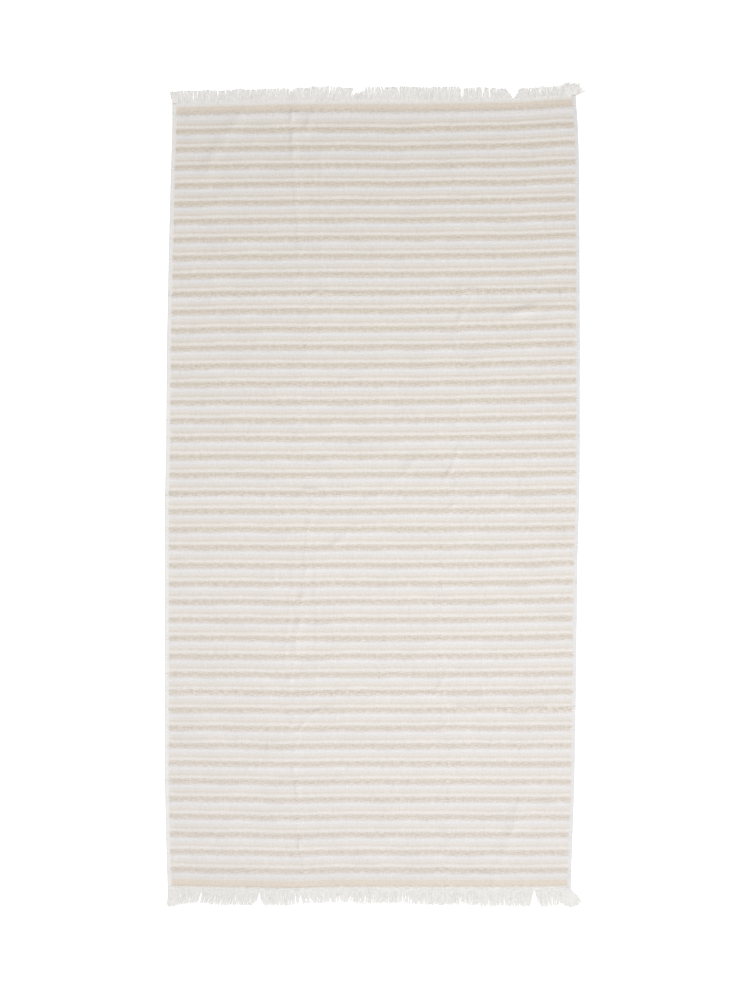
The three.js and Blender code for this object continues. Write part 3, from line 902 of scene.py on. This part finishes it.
class Finish:
    """One material's nodes, each added with its settings and then its values or links."""

    def __init__(self, name):
        self.material = bpy.data.materials.new(name)
        self.material.use_nodes = True
        self.tree = self.material.node_tree
        self.shader = self.tree.nodes["Principled BSDF"]

    def add(self, kind, settings, values, output=0):
        node = self.tree.nodes.new(kind)
        for name, value in settings.items():
            if name == "stops":
                self.fill_ramp(node.color_ramp, value)
            else:
                setattr(node, name, value)
        items = values.items() if isinstance(values, dict) else enumerate(values)
        for place, value in items:
            self.put(node.inputs[place], value)
        return Socket(self, node.outputs[output])

    def put(self, socket, value):
        if isinstance(value, Socket):
            self.tree.links.new(value.output, socket)
        else:
            socket.default_value = value

    def fill_ramp(self, ramp, stops):
        while len(ramp.elements) < len(stops):
            ramp.elements.new(0.5)
        for element, (place, colour) in zip(ramp.elements, stops):
            element.position = place
            element.color = (*colour, 1)

    def mix(self, factor, first, second, blend="MIX"):
        settings = {"data_type": "RGBA", "blend_type": blend}
        return self.add("ShaderNodeMix", settings, {0: factor, 6: first, 7: second}, 2)

    def noise(self, place, scale, detail):
        values = {"Vector": place, "Scale": scale, "Detail": detail}
        return self.add("ShaderNodeTexNoise", {"noise_dimensions": "3D"}, values)

    def flat_place(self):
        """The flat map as a vector, and its two parts in millimetres."""
        place = self.add("ShaderNodeUVMap", {"uv_map": "Flat"}, ())
        parts = [self.add("ShaderNodeSeparateXYZ", {}, (place,), i) * (1 / MM) for i in (0, 1)]
        return place, *parts

    def stretch(self, place, scale):
        return self.add("ShaderNodeMapping", {}, {"Vector": place, "Scale": scale})

    def set(self, **values):
        for name, value in values.items():
            self.put(self.shader.inputs[name.replace("_", " ")], value)


# The towelling's unevenness on the flat map: spots to a metre across and along, and their detail
SPOTS = {
    "wander": ((16, 26, 1), 1.0),
    "mottle": ((90, 400, 1), 2.0),
    "grain": ((250, 480, 1), 2.0),
    "reed": ((330, 45, 1), 1.0),
    "loops": ((900, 1300, 1), 2.0),
}
# What each spot does: how far it moves the stripes and the hem's edge in millimetres, how much it
# shades and raises the cloth, how much more the pile, and where it puts painted highlights on a fold
STRIPE_STRAY = {"wander": 4.6, "mottle": 2.4, "grain": 1.8}
HEM_STRAY = {"wander": 3.0, "mottle": 2.0}
SHADE = {"mottle": 0.17, "grain": 0.26, "loops": 0.12, "wander": 0.08, "reed": 0.10}
PILE_SHADE = {"mottle": 0.36, "grain": 0.18}
RELIEF = {"loops": 0.3, "grain": 0.5}
PILE_RELIEF = {"loops": 0.9, "grain": 0.7}
FOLD_HIGHLIGHT_SPOTS = {"mottle": 1.0, "grain": 0.8}

# Soft edges in millimetres, each from where it starts to where it ends: the pile's by the distance
# from a dark stripe's middle, the others by the distance from their end or side. A dim strip lies
# next to the bottom band. Where spots pass from the first to the second number, a fold gets a
# painted highlight. The fold shade paints the fold crests darker as painted shade.
PILE_EDGE = (4.0, 9.0)
TOP_BAND_EDGE = (23.2, 24.8)
BOTTOM_BAND_EDGE = (21.2, 24.4)
TOP_HEADING_EDGE = (4.6, 11.6)
BOTTOM_HEADING_EDGE = (5.5, 11.0)
AFTER_BAND_START = (20.0, 30.0)
AFTER_BAND_END = (34.5, 39.5)
HEM_EDGE = (6.0, 11.0)
# Across this span the hem's painted light at the left gives way to its painted shade at the right.
HEM_LIGHT_LEFT_TO_RIGHT = (-1.0, 1.0)
DIM_START = (20.0, 26.0)
DIM_END = (30.0, 60.0)
DIM_SHADE = 0.03
FOLD_HIGHLIGHT_FROM = (-0.12, 0.12)
FOLD_SHADE = 0.05
# How much more the shades change the blue, and the threads' gaps and relief, across and along
BLUE_SHADE = 1.1
THREAD_GAPS = (2.2, 1.1)
THREAD_RELIEF = (0.03, 0.015)


def under_light(colour, light):
    """A colour of the picture as the cloth's own, with the picture's light taken off it."""
    return (*(float(c) for c in linear(colour) / light), 1.0)


def stripe_stops(light):
    """The stops of one repeat: each colour's distance from the mean, times the contrast.

    The mean is taken along the repeat, in straight lines from colour to colour.
    """
    down, *channels = STRIPE_REPEAT.values()
    colours = np.array(channels).T
    mean = np.diff(down) @ (colours[1:] + colours[:-1]) / (2 * RIB_PITCH)
    shown = mean + STRIPE_CONTRAST * (colours - mean)
    return [(at / RIB_PITCH, under_light(colour, light)[:3]) for at, colour in zip(down, shown)]


def cloth_finish(light):
    """Striped towelling on the flat map: u across and v down from the top end, in millimetres.

    Colours are the picture's, divided by how brightly its middle is lit here. Spots are noise
    about 0, and weighted() adds them up by a table of shares.
    """
    made = Finish("striped_towelling")
    place, u, v = made.flat_place()
    spots = {}
    for name, (scale, detail) in SPOTS.items():
        spots[name] = made.noise(made.stretch(place, scale), 1.0, detail) - 0.5

    def weighted(shares):
        first, *others = (spots[name] * share for name, share in shares.items())
        for other in others:
            first = first + other
        return first

    down = v - FIRST_RIB + weighted(STRIPE_STRAY)
    share = down.math("WRAP", RIB_PITCH, 0.0) * (1 / RIB_PITCH)
    colour = made.add("ShaderNodeValToRGB", {"stops": stripe_stops(light)}, (share,))
    colour = made.mix(v * (STRIPE_FADE / FLAT_LENGTH), colour, under_light(FADED_STRIPES, light))

    from_light = (share - 0.5).absolute()
    pile = from_light.within(*(0.5 - edge / RIB_PITCH for edge in PILE_EDGE[::-1]))

    up = FLAT_LENGTH - v
    white = v.within(*AFTER_BAND_START) * (1 - v.within(*AFTER_BAND_END))
    colour = made.mix(white, colour, under_light(AFTER_BAND_WHITE, light))
    # The headings' and bands' colours for each end hold painted light and shade for how brightly that end
    # is lit.
    for from_end, edge, end_colour_as_lit in (
        (v, TOP_BAND_EDGE, END_BAND_AS_LIT_TOP),
        (up, BOTTOM_BAND_EDGE, END_BAND_AS_LIT_BOTTOM),
        (v, TOP_HEADING_EDGE, HEADING_AS_LIT_TOP),
        (up, BOTTOM_HEADING_EDGE, HEADING_AS_LIT_BOTTOM),
    ):
        colour = made.mix(1 - from_end.within(*edge), colour, under_light(end_colour_as_lit, light))

    # The hem's two whites hold painted light at the left and painted shade at the right.
    hem = 1 - (FLAT_WIDTH / 2 - u.absolute() + weighted(HEM_STRAY)).within(*HEM_EDGE)
    sides = under_light(HEM_WHITE_AS_LIT_LEFT, light), under_light(HEM_WHITE_AS_LIT_RIGHT, light)
    colour = made.mix(hem, colour, made.mix(u.within(*HEM_LIGHT_LEFT_TO_RIGHT), *sides))
    folded = made.add("ShaderNodeAttribute", {"attribute_name": "folded"}, (), 2)
    # Painted shade along the fold crests, broken by patches of painted highlight.
    fold_highlight = folded * weighted(FOLD_HIGHLIGHT_SPOTS).within(*FOLD_HIGHLIGHT_FROM)
    patchy = weighted(SHADE) + pile * weighted(PILE_SHADE)
    patchy = patchy + (fold_highlight - folded * 0.5) * (1 + pile) * FOLD_SHADE
    patchy = patchy - up.within(*DIM_START) * (1 - up.within(*DIM_END)) * DIM_SHADE
    tone = made.add("ShaderNodeCombineXYZ", {}, (1 + patchy, 1 + patchy, 1 + patchy * BLUE_SHADE))
    colour = made.mix(1.0, colour, tone, "MULTIPLY")

    threads = [(run * (2 * np.pi / gap)).wave() for run, gap in zip((u, v), THREAD_GAPS)]
    weave = threads[0] * THREAD_RELIEF[0] + threads[1] * THREAD_RELIEF[1]
    height = weave * (1 - pile) + weighted(RELIEF) + pile * weighted(PILE_RELIEF)
    height = height * (1 - hem * 0.5)
    bump = made.add("ShaderNodeBump", {}, {"Strength": 0.8, "Distance": MM, "Height": height})
    made.set(Base_Color=colour, Normal=bump, Roughness=0.95)
    made.set(Sheen_Weight=0.1, Sheen_Roughness=0.6, Specular_IOR_Level=0.15)
    return made.material


# The yarn's spots and fibres to a metre, the tones that its spots run through (from two values
# of the noise to two tones), where painted light whitens it from its root, and its plies and
# fibres in relief
YARN_SPOTS = 260.0
YARN_FIBRES = 1800.0
YARN_TONES = {1: 0.3, 2: 0.7, 3: 0.95, 4: 1.04}
PAINTED_LIGHT_TO_TIP = (0.0, 20.0)
PLY_GAP = 1.6
PLY_RELIEF = 0.08
FIBRE_RELIEF = 0.1


def yarn_finish(fringe):
    """Twisted white yarn: slanting plies as bump along each yarn, whiter towards its loose tip as painted
    light and darker at its root as painted shade.
    """
    made = Finish(fringe["name"] + "_yarn")
    _, around, along = made.flat_place()
    where = made.add("ShaderNodeTexCoord", {}, (), 3)
    uneven = made.noise(where, YARN_SPOTS, 3.0)
    fibres = made.noise(where, YARN_FIBRES, 2.0)
    tone = made.add("ShaderNodeMapRange", {}, {0: uneven, **YARN_TONES})
    grey = made.add("ShaderNodeCombineXYZ", {}, (tone, tone, tone))
    # Painted shade at the root gives way to painted light towards the tip.
    lit_towards_tip = along.within(*PAINTED_LIGHT_TO_TIP)
    colour = made.mix(lit_towards_tip, (*fringe["root_white_as_lit"], 1), (*fringe["tip_white_as_lit"], 1))
    colour = made.mix(1.0, colour, grey, "MULTIPLY")
    plies = (around * (2 * np.pi / YARN_AROUND) + along * (2 * np.pi / PLY_GAP)).wave()
    height = plies * PLY_RELIEF + (fibres - 0.5) * FIBRE_RELIEF
    bump = made.add("ShaderNodeBump", {}, {"Strength": 0.5, "Distance": MM, "Height": height})
    made.set(Base_Color=colour, Normal=bump, Roughness=0.92)
    made.set(Sheen_Weight=0.1, Specular_IOR_Level=0.15)
    return made.material


# The picture: what it frames on the plan, its light, and the floor. The lamps' places are in
# metres, and their turns in degrees.
PICTURE_PIXELS = (750, 1000)
MM_PER_PIXEL = 2.18
PLAN_MIDDLE_PIXEL = (372, 492.5)
LENS = 85
SENSOR = 36
SKY_STRENGTH = 0.70
OVER_PLACE = (0.25, -0.42, 2.1)
OVER_SIZE = 1.2
OVER_POWER = 20.0
SLANT_PLACE = (1.5, -3.0, 2.0)
SLANT_TURN = (62, 0, 27)
SLANT_SPREAD = 0.35
SLANT_POWER = 1.2
MIDDLE_LIGHT = 1.24
FLOOR_HALF = 8.0
FLOOR_LEVEL = -0.0002
FLOOR_WHITE = (0.98, 0.98, 0.98, 1)
FLOOR_GLOW = 0.3


def make_camera(shift):
    """A camera straight above: its height frames the picture's longer side with its lens."""
    width, height = PICTURE_PIXELS
    x = ((width - 1) / 2 - PLAN_MIDDLE_PIXEL[0]) * MM_PER_PIXEL + shift[0]
    y = (PLAN_MIDDLE_PIXEL[1] - (height - 1) / 2) * MM_PER_PIXEL + shift[1]
    data = bpy.data.cameras.new("camera")
    data.lens, data.sensor_width, data.sensor_fit = LENS, SENSOR, "AUTO"
    camera = bpy.data.objects.new("camera", data)
    camera.location = (x * MM, y * MM, height * MM_PER_PIXEL * MM * LENS / SENSOR)
    bpy.context.collection.objects.link(camera)
    bpy.context.scene.camera = camera


def make_lamp(name, kind, place, turn, **settings):
    """A lamp at a place in metres, turned by angles in degrees, with its kind's own settings."""
    data = bpy.data.lights.new(name, kind)
    for key, value in settings.items():
        setattr(data, key, value)
    lamp = bpy.data.objects.new(name, data)
    lamp.location, lamp.rotation_euler = place, np.radians(turn)
    bpy.context.collection.objects.link(lamp)


def make_light():
    """Soft light: a white sky, a broad lamp over the lower part, and a low soft slanting light."""
    world = bpy.data.worlds.new("studio")
    world.use_nodes = True
    sky = world.node_tree.nodes["Background"]
    sky.inputs["Color"].default_value = (1, 1, 1, 1)
    sky.inputs["Strength"].default_value = SKY_STRENGTH
    bpy.context.scene.world = world
    make_lamp("over", "AREA", OVER_PLACE, (0, 0, 0), shape="DISK", size=OVER_SIZE, energy=OVER_POWER)
    make_lamp("slant", "SUN", SLANT_PLACE, SLANT_TURN, energy=SLANT_POWER, angle=SLANT_SPREAD)
    view = bpy.context.scene.view_settings
    view.view_transform, view.look = "Standard", "None"
    view.exposure, view.gamma = 0, 1


def make_floor():
    """A plain white floor just under the sheet, glowing faintly so that it shows no shadows."""
    made = Finish("studio_floor")
    made.set(Base_Color=FLOOR_WHITE, Roughness=1.0)
    made.set(Specular_IOR_Level=0.0, Emission_Color=(1, 1, 1, 1), Emission_Strength=FLOOR_GLOW)
    mesh = bpy.data.meshes.new("floor")
    corners = [(-1, -1), (1, -1), (1, 1), (-1, 1)]
    corners = [(x * FLOOR_HALF, y * FLOOR_HALF, FLOOR_LEVEL) for x, y in corners]
    mesh.from_pydata(corners, [], [(0, 1, 2, 3)])
    mesh.materials.append(made.material)
    floor = bpy.data.objects.new("floor", mesh)
    bpy.context.collection.objects.link(floor)


def main():
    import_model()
    low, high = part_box("towel_cloth")
    solid_end = np.array(BACKING_DEPTH + BACKING_GAP)
    cloth_top = smooth_height(solid_end, read(WEAVE_LINES, "flat", "right", solid_end))
    shift = (low[0] / MM - WEAVE_LINES["left"].min(), high[1] / MM - cloth_top)
    make_camera(shift)
    make_light()
    make_floor()
    cloth = make_cloth(cloth_finish(MIDDLE_LIGHT), shift)
    fringes = [make_fringe(fringe, shift) for fringe in (TOP_FRINGE, BOTTOM_FRINGE)]
    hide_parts("towel_cloth")
    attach(cloth, "root")
    for piece, fringe in zip(fringes, (TOP_FRINGE, BOTTOM_FRINGE)):
        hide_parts(fringe["name"])
        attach(piece, "root")


main()
